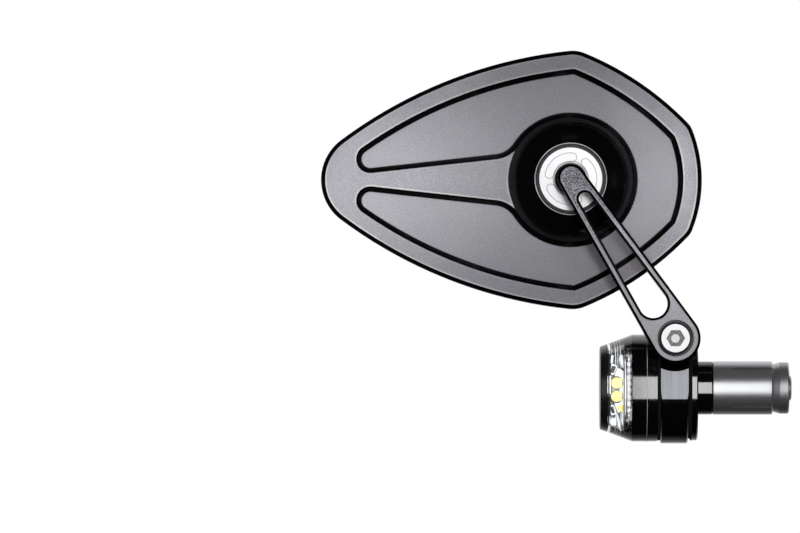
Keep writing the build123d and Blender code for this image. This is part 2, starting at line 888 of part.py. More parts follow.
with BuildPart() as lamp_end_cap:
    with BuildSketch(front_plane):
        with BuildLine():
            Polyline(
                (x_cap_front, 0),
                (x_cap_front, lens_small_radius - cap_taper),
                (x_lens_front, lens_small_radius),
                (x_lens_front, cap_spigot_radius),
                (x_cap_groove - groove_half, cap_spigot_radius),
                (x_cap_groove - groove_half, cap_spigot_radius - cap_groove_depth),
                (x_cap_groove + groove_half, cap_spigot_radius - cap_groove_depth),
                (x_cap_groove + groove_half, cap_spigot_radius),
                (x_cap_spigot, cap_spigot_radius),
                (x_cap_spigot, 0),
                close=True,
            )
        make_face()
    revolve(axis=Axis.X)
    fillet(lamp_end_cap.faces().sort_by(Axis.X)[0].edges(), radius=cap_edge_round)
lamp_end_cap.part.label = "lamp_end_cap"
export_step(lamp_end_cap.part, "parts/lamp_end_cap.step")

with BuildPart() as cap_o_ring:
    with BuildSketch(front_plane):
        with Locations((x_cap_groove, cap_spigot_radius - cap_groove_depth + cap_seal_radius)):
            Circle(cap_seal_radius)
    revolve(axis=Axis.X)
cap_o_ring.part.label = "cap_o_ring"
export_step(cap_o_ring.part, "parts/cap_o_ring.step")

with BuildPart() as lens_o_ring:
    with BuildSketch(front_plane):
        with Locations(((x_skirt_end + x_housing_front) / 2, skirt_radius - lens_seal_radius)):
            Circle(lens_seal_radius)
    revolve(axis=Axis.X)
lens_o_ring.part.label = "lens_o_ring"
export_step(lens_o_ring.part, "parts/lens_o_ring.step")

# Light engine: a heat sink post with a board and two domes on its front and on its back
x_carrier_base = x_housing_front - carrier_base_thickness
x_board_bulge = x_cap_spigot + board_bulge_reach
x_board_top = x_cap_spigot + board_top_reach
x_board_bottom = x_cap_spigot + board_bottom_reach
x_board_inner = x_cap_spigot + board_inner_reach
x_dome = x_cap_spigot + dome_reach

with BuildPart() as led_carrier:
    with BuildSketch(Plane.YZ.offset(x_housing_front)):
        Circle(spigot_radius - screw_clearance)
    extrude(amount=-carrier_base_thickness)
    with BuildSketch(Plane.YZ.offset(x_carrier_base)):
        Rectangle(carrier_depth, carrier_height)
    extrude(amount=-(x_carrier_base - x_cap_spigot))
    with BuildSketch(Plane.YZ.offset(x_housing_front)):
        Circle(bolt_bore_radius)
    extrude(amount=-2 * carrier_base_thickness, mode=Mode.SUBTRACT)
led_carrier.part.label = "led_carrier"
export_step(led_carrier.part, "parts/led_carrier.step")

led_sides = {"front": Plane.XZ, "rear": Plane(origin=(0, 0, 0), x_dir=(1, 0, 0), z_dir=(0, 1, 0))}

for side, led_plane in led_sides.items():
    flip = led_plane.y_dir.Z
    with BuildPart() as led_board:
        with BuildSketch(led_plane.offset(carrier_depth / 2)):
            with BuildLine():
                Polyline(
                    (x_board_top, flip * board_top_z),
                    (x_board_inner, flip * board_corner_top),
                    (x_board_inner, flip * board_corner_bottom),
                    (x_board_bottom, flip * board_bottom_z),
                )
                ThreePointArc(
                    (x_board_bottom, flip * board_bottom_z),
                    (x_board_bulge, flip * (board_top_z + board_bottom_z) / 2),
                    (x_board_top, flip * board_top_z),
                )
            make_face()
        extrude(amount=board_thickness)
    led_board.part.label = "led_board_" + side
    export_step(led_board.part, "parts/led_board_" + side + ".step")

    with BuildPart() as led_domes:
        dome_base = led_plane.offset(carrier_depth / 2 + board_thickness)
        with BuildSketch(dome_base):
            with Locations((x_dome, flip * dome_top_z), (x_dome, flip * dome_bottom_z)):
                Circle(dome_radius)
        extrude(amount=dome_radius)
        dome_faces = led_domes.faces().sort_by(Axis(dome_base.origin, led_plane.z_dir))
        fillet(dome_faces[-2:].edges(), radius=dome_round)
    led_domes.part.label = "led_domes_" + side
    export_step(led_domes.part, "parts/led_domes_" + side + ".step")

# Reflector: a faceted cone that stands on the housing's face and throws the light outwards
facet_ratio = math.cos(math.pi / reflector_facets)
reflector_foot = skirt_bore - running_clearance
reflector_mouth = (math.hypot(carrier_depth, carrier_height) / 2 + reflector_gap) / facet_ratio

with BuildPart() as reflector:
    with BuildSketch(Plane.YZ.offset(x_housing_front)):
        RegularPolygon(reflector_foot, reflector_facets)
    with BuildSketch(Plane.YZ.offset(x_housing_front - reflector_length)):
        RegularPolygon(reflector_mouth + reflector_wall, reflector_facets)
    loft()
    with BuildSketch(Plane.YZ.offset(x_housing_front)):
        RegularPolygon(reflector_foot - reflector_wall, reflector_facets)
    with BuildSketch(Plane.YZ.offset(x_housing_front - reflector_length)):
        RegularPolygon(reflector_mouth, reflector_facets)
    loft(mode=Mode.SUBTRACT)
reflector.part.label = "reflector"
export_step(reflector.part, "parts/reflector.step")
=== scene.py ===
"""Finishes and fine pieces for the bar end mirror, round its solids. Lengths are in metres."""
import json
import math

import bmesh
import bpy
import numpy as np
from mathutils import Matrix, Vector


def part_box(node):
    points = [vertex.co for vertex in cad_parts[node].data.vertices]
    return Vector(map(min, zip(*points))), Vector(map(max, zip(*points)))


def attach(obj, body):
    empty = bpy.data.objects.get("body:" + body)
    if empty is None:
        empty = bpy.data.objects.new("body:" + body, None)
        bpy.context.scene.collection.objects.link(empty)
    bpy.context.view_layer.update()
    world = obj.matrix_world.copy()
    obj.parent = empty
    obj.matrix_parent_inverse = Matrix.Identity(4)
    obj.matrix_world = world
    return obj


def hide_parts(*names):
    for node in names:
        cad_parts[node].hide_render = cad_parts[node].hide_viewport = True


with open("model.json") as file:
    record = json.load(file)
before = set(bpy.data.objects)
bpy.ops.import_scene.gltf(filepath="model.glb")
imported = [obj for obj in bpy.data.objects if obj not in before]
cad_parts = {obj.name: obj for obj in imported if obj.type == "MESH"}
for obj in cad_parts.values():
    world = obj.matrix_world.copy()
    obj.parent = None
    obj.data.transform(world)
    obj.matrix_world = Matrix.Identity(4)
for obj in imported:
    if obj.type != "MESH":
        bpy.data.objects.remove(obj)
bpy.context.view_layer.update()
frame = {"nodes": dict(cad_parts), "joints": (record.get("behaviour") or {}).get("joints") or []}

MM = 0.001
nodes = frame["nodes"]

# Places from the frame
joint_points = {joint["name"]: Vector(joint["pos_m"]) for joint in frame["joints"]}
ball = joint_points["head_spin"]
pivot = joint_points["arm_swing"]
arm_low, arm_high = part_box("mirror_arm")
screw_low, screw_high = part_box("pivot_screw")
hub_mouth_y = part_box("mirror_body")[0].y
nut_face_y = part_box("ring_nut")[0].y

# Flats that the milling cutter left, by their place along Y
border_y = ball.y + 2.7 * MM
pocket_y = border_y + 1.7 * MM
pad_y = -17.35 * MM
level_error = 0.02 * MM

# Axles of the turned pieces: a point on each, with 0 along it and 1 across it
from_front = (1.0, 0.0, 1.0)
from_side = (0.0, 1.0, 1.0)
ball_axle = (Vector((ball.x, 0.0, ball.z)), from_front)
screw_axle = (Vector((pivot.x, 0.0, pivot.z)), from_front)
bar_axle = (Vector((0.0, 0.0, 0.0)), from_side)

# Pivot screw: a low head whose socket has two corners level with its middle
screw_head_radius = 4.95 * MM
screw_head_height = 4.0 * MM
screw_shank_radius = 3.0 * MM
screw_edge_break = 0.4 * MM
screw_hex_half = 2.55 * MM
screw_hex_depth = 2.4 * MM
screw_drill_radius = 1.4 * MM
screw_drill_depth = 0.6 * MM
screw_finish_gap = 0.05 * MM

# Settings of a Mix node for two colours, and the numbers of its sockets, whose names repeat
colour_mix = {"out": 2, "data_type": "RGBA"}
FIRST, SECOND = 6, 7


def linear(colour):
    """The linear red, green, blue and alpha of an sRGB hex colour."""
    srgb = np.array([int(colour[i : i + 2], 16) for i in (1, 3, 5)]) / 255
    steep = ((srgb + 0.055) / 1.055) ** 2.4
    return (*np.where(srgb <= 0.04045, srgb / 12.92, steep), 1.0)


def add_node(tree, kind, inputs=(), out=0, **settings):
    """Adds a node with its settings and inputs, which are named, numbered or in order: an output
    is linked to its input and a value is set. Returns the node's output that out says, if any."""
    node = tree.nodes.new("ShaderNode" + kind)
    for name, value in settings.items():
        setattr(node, name, value)
    pairs = inputs.items() if isinstance(inputs, dict) else enumerate(inputs)
    for key, value in pairs:
        if isinstance(value, bpy.types.NodeSocket):
            tree.links.new(value, node.inputs[key])
        else:
            node.inputs[key].default_value = value
    return node.outputs[out] if node.outputs else None


def new_material(name):
    """An empty material, its tree and the Object coordinates of each point."""
    material = bpy.data.materials.new(name)
    material.use_nodes = True
    tree = material.node_tree
    tree.nodes.clear()
    return material, tree, add_node(tree, "TexCoord", out="Object")


def on_levels(tree, y, levels):
    """1 on faces that lie at one of these places along Y, and 0 elsewhere."""
    found = 0.0
    for level in levels:
        here = add_node(tree, "Math", (y, level, level_error), operation="COMPARE")
        found = add_node(tree, "Math", (here, found), operation="MAXIMUM")
    return found


def radius_from(tree, place, axle):
    """The distance of each point from an axle: the length of (place - point on it) x across."""
    point, across = axle
    spoke = add_node(tree, "Mapping", {"Vector": place, "Location": -point, "Scale": across})
    return add_node(tree, "VectorMath", (spoke,), "Value", operation="LENGTH")


# Real sizes of the finishes. Grit and tool marks are drawn as coarse as they need to show.
fine_grit = 0.4 * MM
strong_grit = 0.38 * MM
grit_depth = 0.03 * MM
cloud_size = 16 * MM
edge_reach = 1.0 * MM
cutter_line = 0.3 * MM
cutter_band = 1.6 * MM
cutter_stretch = 30
cutter_depth = 0.01 * MM
tool_line = 0.18 * MM
tool_ring = 0.12 * MM
tool_depth = 0.004 * MM
face_ring = 0.15 * MM
shade_mottle_size = 0.5 * MM
moulded_grain = 0.25 * MM
moulded_depth = 0.01 * MM
foam_cell = 0.6 * MM
phosphor_mottle = 1.1 * MM
ball_haze = 1.5 * MM
lens_haze = 2.0 * MM
glass_haze = 9 * MM

# Noise keeps near the middle of 0 to 1, so one of these spans is drawn out to the whole change
wide_span = (0.3, 0.7)
narrow_span = (0.35, 0.65)

# Near a flat's edge a rounded normal turns away from -Y: its Y where the painted highlight line and the
# black line start and are full
painted_highlight_line = (-0.9995, -0.996)
black_line = (-0.972, -0.955)


# Blasted and anodised aluminium: satin grey flats with a fine grit, whose grey is partly the blasted
# finish and partly a painted reflection of the front softbox, and milled walls that are gloss black.
# A flat ends in a black line, and the foremost one has a painted highlight, a pale line inside it,
# which is weaker where its edge faces up. Flats and lips are given by their place along Y: a lip is
# blasted and stays black. Shaded gives where along Z a painted shade with a stronger grit starts and
# is full, and its two greys.
def milled_anodised(name, levels, greys, highlight_grey, lips=(), shaded=None):
    material, tree, place = new_material(name)
    where = add_node(tree, "SeparateXYZ", (place,)).node.outputs
    flat = on_levels(tree, where["Y"], levels)
    foremost = on_levels(tree, where["Y"], levels[:1])
    lip = on_levels(tree, where["Y"], lips)
    grey, pale_grey, clouded = (linear(level_grey) for level_grey in greys)

    # The flats' grey is partly the blasted finish and partly a painted reflection of the front softbox
    speckle = add_node(tree, "TexNoise", {"Vector": place, "Scale": 1 / fine_grit, "Detail": 3.0})
    share = add_node(tree, "MapRange", (speckle, *narrow_span))
    satin_and_sheen = add_node(tree, "Mix", {"Factor": share, FIRST: grey, SECOND: pale_grey}, **colour_mix)
    cloud = add_node(tree, "TexNoise", {"Vector": place, "Scale": 1 / cloud_size, "Detail": 1.0})
    share = add_node(tree, "MapRange", (cloud, 0.35, 0.7, 0.0, 0.3))
    satin_and_sheen = add_node(tree, "Mix", {"Factor": share, FIRST: satin_and_sheen, SECOND: clouded}, **colour_mix)
    # Painted shade: towards high Z the flats grow darker, with a stronger grit
    if shaded:
        low, high, shade_grey, grit_grey = shaded
        marks = add_node(tree, "TexNoise", {"Vector": place, "Scale": 1 / strong_grit, "Detail": 3.0})
        share = add_node(tree, "MapRange", (marks, 0.4, 0.6))
        shade_and_grit = {"Factor": share, FIRST: linear(shade_grey), SECOND: linear(grit_grey)}
        shade_and_grit = add_node(tree, "Mix", shade_and_grit, **colour_mix)
        share = add_node(tree, "MapRange", (where["Z"], low, high))
        satin_and_sheen = add_node(tree, "Mix", {"Factor": share, FIRST: satin_and_sheen, SECOND: shade_and_grit}, **colour_mix)

    # Painted highlight: a pale line along the foremost flat's edge, weaker where that edge faces up
    rounded = add_node(tree, "Bevel", {"Radius": edge_reach}, samples=8)
    slope = add_node(tree, "SeparateXYZ", (rounded,)).node.outputs
    share = add_node(tree, "MapRange", (slope["Y"], *painted_highlight_line))
    share = add_node(tree, "Math", (share, foremost), operation="MULTIPLY")
    upward = add_node(tree, "MapRange", (slope["Z"], -0.02, 0.1, 1.0, 0.3))
    share = add_node(tree, "Math", (share, upward), operation="MULTIPLY")
    edge = {"Factor": share, FIRST: satin_and_sheen, SECOND: linear(highlight_grey)}
    satin_and_sheen = add_node(tree, "Mix", edge, **colour_mix)
    share = add_node(tree, "MapRange", (slope["Y"], *black_line))
    edge = {"Factor": share, FIRST: satin_and_sheen, SECOND: linear("#050506")}
    satin_and_sheen = add_node(tree, "Mix", edge, **colour_mix)

    walls = {"Factor": lip, FIRST: linear("#050506"), SECOND: linear("#29292b")}
    walls = add_node(tree, "Mix", walls, **colour_mix)
    blasted = add_node(tree, "Math", (flat, lip), operation="MAXIMUM")
    height = add_node(tree, "Math", (speckle, flat), operation="MULTIPLY")
    surface = add_node(tree, "BsdfPrincipled", {
        "Base Color": add_node(tree, "Mix", {"Factor": flat, FIRST: walls, SECOND: satin_and_sheen}, **colour_mix),
        "Metallic": add_node(tree, "MapRange", (flat, 0.0, 1.0, 0.0, 0.3)),
        "Roughness": add_node(tree, "MapRange", (blasted, 0.0, 1.0, 0.14, 0.55)),
        "Specular IOR Level": 0.3,
        "Normal": add_node(tree, "Bump", {"Height": height, "Distance": grit_depth, "Strength": 0.8}),
    })
    add_node(tree, "OutputMaterial", {"Surface": surface})
    return material


# Anodised aluminium, turned black, with a pad that was milled with a slow cutter: satin grey with
# fine upright lines in broad bands. The pad's grey is partly its finish and partly a painted
# reflection of the front softbox.
def brushed_anodised(name):
    material, tree, place = new_material(name)
    flat = on_levels(tree, add_node(tree, "SeparateXYZ", (place,), "Y"), (pad_y,))
    upright = add_node(tree, "Mapping", {"Vector": place, "Scale": (1.0, 1.0, 1 / cutter_stretch)})
    lines = add_node(tree, "TexNoise", {"Vector": upright, "Scale": 1 / cutter_line, "Detail": 3.0})
    bands = add_node(tree, "TexNoise", {"Vector": upright, "Scale": 1 / cutter_band, "Detail": 1.0})
    share = add_node(tree, "MapRange", (lines, *wide_span))
    # The pad's grey is partly a painted reflection of the front softbox
    grey = {"Factor": share, FIRST: linear("#9c9ea4"), SECOND: linear("#b2b4ba")}
    grey = add_node(tree, "Mix", grey, **colour_mix)
    share = add_node(tree, "MapRange", (bands, 0.4, 0.65, 0.0, 0.5))
    grey = {"Factor": share, FIRST: grey, SECOND: linear("#b8bac0")}
    grey = add_node(tree, "Mix", grey, **colour_mix)
    colour = {"Factor": flat, FIRST: linear("#070708"), SECOND: grey}
    height = add_node(tree, "Math", (lines, flat), operation="MULTIPLY")
    surface = add_node(tree, "BsdfPrincipled", {
        "Base Color": add_node(tree, "Mix", colour, **colour_mix),
        "Metallic": add_node(tree, "MapRange", (flat, 0.0, 1.0, 0.0, 0.35)),
        "Roughness": add_node(tree, "MapRange", (flat, 0.0, 1.0, 0.1, 0.45)),
        "Specular IOR Level": 0.75,
        "Normal": add_node(tree, "Bump", {"Height": height, "Distance": cutter_depth, "Strength": 0.5}),
    })
    add_node(tree, "OutputMaterial", {"Surface": surface})
    return material


# Turned aluminium under a black anodised layer: deep black, with fine tool lines round the bar's
# axle that show where a lamp is reflected. An undercut is left dull.
def turned_black(name, colour="#060606", streak="#0d0d0e", roughness=0.085, undercut=None):
    material, tree, place = new_material(name)
    x = add_node(tree, "SeparateXYZ", (place,), "X")
    lines = {"W": x, "Scale": 1 / tool_line, "Detail": 2.0}
    lines = add_node(tree, "TexNoise", lines, noise_dimensions="1D")
    share = add_node(tree, "MapRange", (lines, *wide_span))
    colour = {"Factor": share, FIRST: linear(colour), SECOND: linear(streak)}
    dullness = add_node(tree, "MapRange", (lines, *wide_span, roughness, roughness + 0.05))
    if undercut:
        low, high = undercut
        groove = add_node(tree, "Math", (x, (low + high) / 2, (high - low) / 2), operation="COMPARE")
        dullness = add_node(tree, "Math", (dullness, groove), operation="MAXIMUM")
    surface = add_node(tree, "BsdfPrincipled", {
        "Base Color": add_node(tree, "Mix", colour, **colour_mix),
        "Roughness": dullness,
        "Specular IOR Level": 0.75,
        "Normal": add_node(tree, "Bump", {"Height": lines, "Distance": tool_depth, "Strength": 0.15}),
    })
    add_node(tree, "OutputMaterial", {"Surface": surface})
    return material


# Bright turned metal, or plastic metallised on a turned mould: pale and satin, with fine tool
# rings about its axle. A rim is painted darker from this radius on, as shade on a chamfer.
def turned_bright(name, colour, darker, axle, roughness=0.3, metallic=0.85, rim=None):
    material, tree, place = new_material(name)
    radius = radius_from(tree, place, axle)
    rings = {"W": radius, "Scale": 1 / tool_ring, "Detail": 2.0}
    rings = add_node(tree, "TexNoise", rings, noise_dimensions="1D")
    share = add_node(tree, "MapRange", (rings, *wide_span))
    metal = {"Factor": share, FIRST: linear(colour), SECOND: linear(darker)}
    metal = add_node(tree, "Mix", metal, **colour_mix)
    if rim:
        shade_start, shade_colour = rim
        share = add_node(tree, "Math", (radius, shade_start), operation="GREATER_THAN")
        metal = {"Factor": share, FIRST: metal, SECOND: linear(shade_colour)}
        metal = add_node(tree, "Mix", metal, **colour_mix)
    surface = add_node(tree, "BsdfPrincipled", {
        "Base Color": metal,
        "Metallic": metallic,
        "Roughness": add_node(tree, "MapRange", (rings, *wide_span, roughness, roughness + 0.1)),
        "Normal": add_node(tree, "Bump", {"Height": rings, "Distance": tool_depth, "Strength": 0.3}),
    })
    add_node(tree, "OutputMaterial", {"Surface": surface})
    return material


# Forged stainless steel: a turned white face with fine rings, a socket painted dark with a mottle as
# shade, with a bright drilled point, and a broken edge painted dark as shade.
def forged_steel(name):
    material, tree, place = new_material(name)
    y = add_node(tree, "SeparateXYZ", (place,), "Y")
    radius = radius_from(tree, place, screw_axle)
    rings = {"W": radius, "Scale": 1 / face_ring, "Detail": 2.0}
    rings = add_node(tree, "TexNoise", rings, noise_dimensions="1D")
    face = {"Factor": rings, FIRST: linear("#f2f2f3"), SECOND: linear("#dfdfe1")}
    face = add_node(tree, "Mix", face, **colour_mix)
    # Painted shade: the socket is dark, with a mottle
    socket_shade_mottle = add_node(tree, "TexNoise", {"Vector": place, "Scale": 1 / shade_mottle_size, "Detail": 2.0})
    share = add_node(tree, "MapRange", (socket_shade_mottle, *narrow_span))
    socket_shade = {"Factor": share, FIRST: linear("#4c4c4e"), SECOND: linear("#7c7c7e")}
    socket_shade = add_node(tree, "Mix", socket_shade, **colour_mix)

    sunk = add_node(tree, "Math", (y, screw_low.y + screw_finish_gap), operation="GREATER_THAN")
    corner_radius = screw_hex_half / math.cos(math.pi / 6) + screw_finish_gap
    inside = add_node(tree, "Math", (radius, corner_radius), operation="LESS_THAN")
    socket = add_node(tree, "Math", (sunk, inside), operation="MULTIPLY")
    colour = add_node(tree, "Mix", {"Factor": socket, FIRST: face, SECOND: socket_shade}, **colour_mix)
    point_radius = screw_drill_radius - screw_finish_gap
    point = add_node(tree, "Math", (radius, point_radius), operation="LESS_THAN")
    colour = {"Factor": point, FIRST: colour, SECOND: linear("#d2d2d2")}
    colour = add_node(tree, "Mix", colour, **colour_mix)
    # Painted shade: the broken edge is dark
    face_radius = screw_head_radius - screw_edge_break - screw_finish_gap
    edge = add_node(tree, "Math", (radius, face_radius), operation="GREATER_THAN")
    colour = {"Factor": edge, FIRST: colour, SECOND: linear("#2a2a2b")}
    surface = add_node(tree, "BsdfPrincipled", {
        "Base Color": add_node(tree, "Mix", colour, **colour_mix),
        "Metallic": 0.25,
        "Roughness": 0.35,
        "Normal": add_node(tree, "Bump", {"Height": rings, "Distance": tool_depth, "Strength": 0.3}),
    })
    add_node(tree, "OutputMaterial", {"Surface": surface})
    return material


# Moulded plastic, rubber, resin and foam, plain coatings, and the painted highlight and shade lines
# on edges: one colour with a faint mottle and a fine grain. The lamp's boards and phosphor have a
# faint painted glow, standing in for the light that the lens gathers on them.
def plain_finish(name, colour, lighter, roughness, mottle=moulded_grain, glow=0.0):
    material, tree, place = new_material(name)
    speckle = add_node(tree, "TexNoise", {"Vector": place, "Scale": 1 / mottle, "Detail": 2.0})
    share = add_node(tree, "MapRange", (speckle, *wide_span))
    colour = {"Factor": share, FIRST: linear(colour), SECOND: linear(lighter)}
    surface = add_node(tree, "BsdfPrincipled", {
        "Base Color": add_node(tree, "Mix", colour, **colour_mix),
        "Roughness": add_node(tree, "MapRange", (speckle, *wide_span, roughness, roughness + 0.08)),
        "Normal": add_node(tree, "Bump", {"Height": speckle, "Distance": moulded_depth, "Strength": 0.5}),
        "Emission Color": linear(lighter),
        "Emission Strength": glow,
    })
    add_node(tree, "OutputMaterial", {"Surface": surface})
    return material


# Polished ball steel: a mirror finish with a faint haze.
def polished_steel(name):
    material, tree, place = new_material(name)
    haze = add_node(tree, "TexNoise", {"Vector": place, "Scale": 1 / ball_haze, "Detail": 2.0})
    surface = add_node(tree, "BsdfPrincipled", {
        "Base Color": linear("#c9cacd"),
        "Metallic": 1.0,
        "Roughness": add_node(tree, "MapRange", (haze, 0.3, 0.8, 0.05, 0.14)),
    })
    add_node(tree, "OutputMaterial", {"Surface": surface})
    return material


# Clear polycarbonate or resin from a polished mould: smooth and water clear, with an almost clear
# shadow, so that the lamp's inside is lit.
def clear_moulding(name, ior):
    material, tree, place = new_material(name)
    haze = add_node(tree, "TexNoise", {"Vector": place, "Scale": 1 / lens_haze, "Detail": 2.0})
    solid = add_node(tree, "BsdfPrincipled", {
        "Base Color": linear("#fafbfc"),
        "Roughness": add_node(tree, "MapRange", (haze, 0.3, 0.8, 0.0, 0.03)),
        "IOR": ior,
        "Transmission Weight": 1.0,
    })
    clear = add_node(tree, "BsdfTransparent", {"Color": linear("#f4f5f6")})
    shadow = add_node(tree, "LightPath", out="Is Shadow Ray")
    surface = add_node(tree, "MixShader", (shadow, solid, clear))
    add_node(tree, "OutputMaterial", {"Surface": surface})
    return material


# Silvered convex glass: a bright mirror with a faint blue cast.
def silvered_glass(name):
    material, tree, place = new_material(name)
    haze = add_node(tree, "TexNoise", {"Vector": place, "Scale": 1 / glass_haze, "Detail": 2.0})
    silver = {"Factor": haze, FIRST: linear("#c4cfda"), SECOND: linear("#cdd6df")}
    surface = add_node(tree, "BsdfPrincipled", {
        "Base Color": add_node(tree, "Mix", silver, **colour_mix),
        "Metallic": 1.0,
        "Roughness": 0.01,
        "Coat Weight": 1.0,
        "Coat Roughness": 0.0,
    })
    add_node(tree, "OutputMaterial", {"Surface": surface})
    return material


# Where the arm's painted shade, darker towards the top with a stronger grit, fades in up the arm, the
# dull undercuts of the turned black pieces and the radius from which the nut's chamfer is painted dark as
# shade
arm_shade = (26 * MM, 58 * MM)
housing_undercut = (-12.85 * MM, -11.9 * MM)
flange_undercut = (-3.3 * MM, -1.9 * MM)
nut_shade_radius = 10.02 * MM

# Refractive indices of the cast resin and of polycarbonate
resin_ior = 1.45
polycarbonate_ior = 1.58


def dress(material, *names):
    """Gives these solids one material."""
    for name in names:
        nodes[name].data.materials.clear()
        nodes[name].data.materials.append(material)


def finish_milled_pieces():
    """Head, arm and clamp."""
    # The head's flat greys are partly a painted reflection of the front softbox
    head_greys = ("#7b7a80", "#8c8b91", "#88878d")
    # The last grey is the painted edge highlight
    head = milled_anodised(
        "blasted_anodised_head", (border_y, pocket_y), head_greys, "#cdcdd1", lips=(hub_mouth_y,)
    )
    dress(head, "mirror_body")
    # The arm's flat greys are partly a painted reflection of the front softbox
    arm_greys = ("#97989d", "#bebfc4", "#a9aaaf")
    # Painted shade: the arm's face grows darker towards the top, with a coarser grit
    shaded = (*arm_shade, "#393a43", "#9fa0a6")
    # The last grey is the painted edge highlight
    arm = milled_anodised(
        "blasted_anodised_arm", (arm_low.y, arm_high.y), arm_greys, "#b4b4b8", shaded=shaded
    )
    dress(arm, "mirror_arm")
    dress(brushed_anodised("anodised_clamp"), "clamp_ring")


def finish_turned_pieces():
    """Black pieces of the bar end unit, and the bright ones of the joints and the plug."""
    dress(turned_black("turned_black_lens_ring"), "lens_ring")
    dress(turned_black("turned_black_housing", undercut=housing_undercut), "lamp_housing")
    dress(turned_black("turned_black_flange", undercut=flange_undercut), "bar_end_adapter")
    dress(turned_black("blasted_black_post", "#0a0a0a", roughness=0.5), "led_carrier")
    dress(turned_black("turned_black_cap", "#141417", "#1f1f23", 0.24), "lamp_end_cap")
    # Painted shade: the nut's chamfer is dark grey
    rim = (nut_shade_radius, "#4c4c4e")
    nut = turned_bright(
        "turned_clear_anodised", "#f3f3f4", "#e9e9eb", ball_axle, metallic=0.15, rim=rim
    )
    dress(nut, "ring_nut")
    seat = turned_bright("turned_seat_aluminium", "#d2d2d3", "#c2c2c4", ball_axle, metallic=0.2)
    dress(seat, "ball_seat_front", "ball_seat_rear")
    dress(turned_bright("spring_steel", "#c4c4c6", "#b2b2b5", ball_axle), "socket_spring")
    plug = turned_bright("turned_aluminium", "#c8c9cc", "#b2b3b7", bar_axle)
    dress(plug, "expander_sleeve", "expander_cone", "expander_bolt")
    dress(polished_steel("polished_ball_steel"), "ball_stud")


def finish_plain_and_clear_pieces():
    """Bush, washer, liner, seals, pad, boards, reflector, lens and glass."""
    dress(plain_finish("coated_bronze", "#0c0b0a", "#191715", 0.4), "pivot_bush")
    dress(plain_finish("moulded_acetal", "#101011", "#18181a", 0.35), "friction_washer", "ball_liner")
    dress(plain_finish("moulded_nitrile", "#0b0b0c", "#131314", 0.6), "lens_o_ring", "cap_o_ring")
    dress(plain_finish("adhesive_foam", "#141415", "#202022", 0.8, foam_cell), "pane_pad")
    # Painted light: the boards glow faintly
    mask = plain_finish("white_solder_mask", "#e8eae8", "#f2f3f1", 0.3, glow=0.1)
    dress(mask, "led_board_front", "led_board_rear")
    dress(clear_moulding("clear_resin", resin_ior), "led_domes_front", "led_domes_rear")
    bright = turned_bright("metallised_plastic", "#e4e5e8", "#d0d1d4", bar_axle, roughness=0.1)
    dress(bright, "reflector")
    dress(clear_moulding("clear_polycarbonate", polycarbonate_ior), "lamp_lens")
    dress(silvered_glass("silvered_glass"), "mirror_pane")


# Meshes: how close two points are merged, the digits by which two corners are told apart, the
# turn from face to face that stays sharp, and the grid of a pebble
merge_distance = 0.001 * MM
corner_digits = 7
sharp_turn = math.radians(40)
pebble_rows = 17
pebble_columns = 32


def quads(rows, columns, rows_close, columns_close):
    """The four corners of each face of a grid of points, by their place in the flat list."""
    row = np.arange(rows if rows_close else rows - 1)[:, None]
    column = np.arange(columns if columns_close else columns - 1)[None, :]
    start = row * columns
    next_start = (row + 1) % rows * columns
    beside = (column + 1) % columns
    corners = (start + column, start + beside, next_start + beside, next_start + column)
    return np.stack(np.broadcast_arrays(*corners), axis=-1).reshape(-1, 4)


def add_piece(name, grids, material, body):
    """One mesh of grids, each (points, rows close, columns close); points that meet are merged."""
    points, faces, start = [], [], 0
    for grid, rows_close, columns_close in grids:
        rows, columns = grid.shape[:2]
        points.append(grid.reshape(-1, 3))
        faces.append(quads(rows, columns, rows_close, columns_close) + start)
        start += rows * columns
    mesh = bpy.data.meshes.new(name)
    mesh.from_pydata(np.concatenate(points).tolist(), [], np.concatenate(faces).tolist())
    shape = bmesh.new()
    shape.from_mesh(mesh)
    bmesh.ops.remove_doubles(shape, verts=shape.verts, dist=merge_distance)
    bmesh.ops.recalc_face_normals(shape, faces=shape.faces)
    shape.to_mesh(mesh)
    shape.free()
    mesh.shade_smooth()
    mesh.set_sharp_from_angle(angle=sharp_turn)
    mesh.materials.append(material)
    piece = bpy.data.objects.new(name, mesh)
    bpy.context.scene.collection.objects.link(piece)
    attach(piece, body)
    return piece


def full_turn(count):
    """This many angles, evenly spaced round a full turn."""
    return np.linspace(0, 2 * np.pi, count, endpoint=False)


def round_y(angles):
    """Directions square to Y: (cos a, 0, sin a)."""
    return np.stack([np.cos(angles), 0 * angles, np.sin(angles)], axis=-1)


def round_bar(angles):
    """Directions square to the bar's axle: (0, -cos a, sin a)."""
    return np.stack([0 * angles, -np.cos(angles), np.sin(angles)], axis=-1)


def bead(path, out, radius, sides=8):
    """A bead on a closed path: path + radius x (cos a x across + sin a x out), a round a full turn."""
    out = np.broadcast_to(np.asarray(out, float), path.shape)
    along = np.roll(path, -1, axis=0) - np.roll(path, 1, axis=0)
    across = np.cross(along, out)
    across = across / np.linalg.norm(across, axis=1, keepdims=True)
    turn = full_turn(sides)[None, :, None]
    spokes = np.cos(turn) * across[:, None] + np.sin(turn) * out[:, None]
    radius = np.broadcast_to(radius, len(path))[:, None, None]
    return path[:, None] + radius * spokes, True, True


def bar_ring(x, radius, thickness, count=192):
    """A bead round the bar's axle: x and radius x (-cos a, sin a), with one thickness or one a point."""
    out = round_bar(full_turn(count))
    return bead(out * radius + np.array([x, 0, 0]), out, thickness)


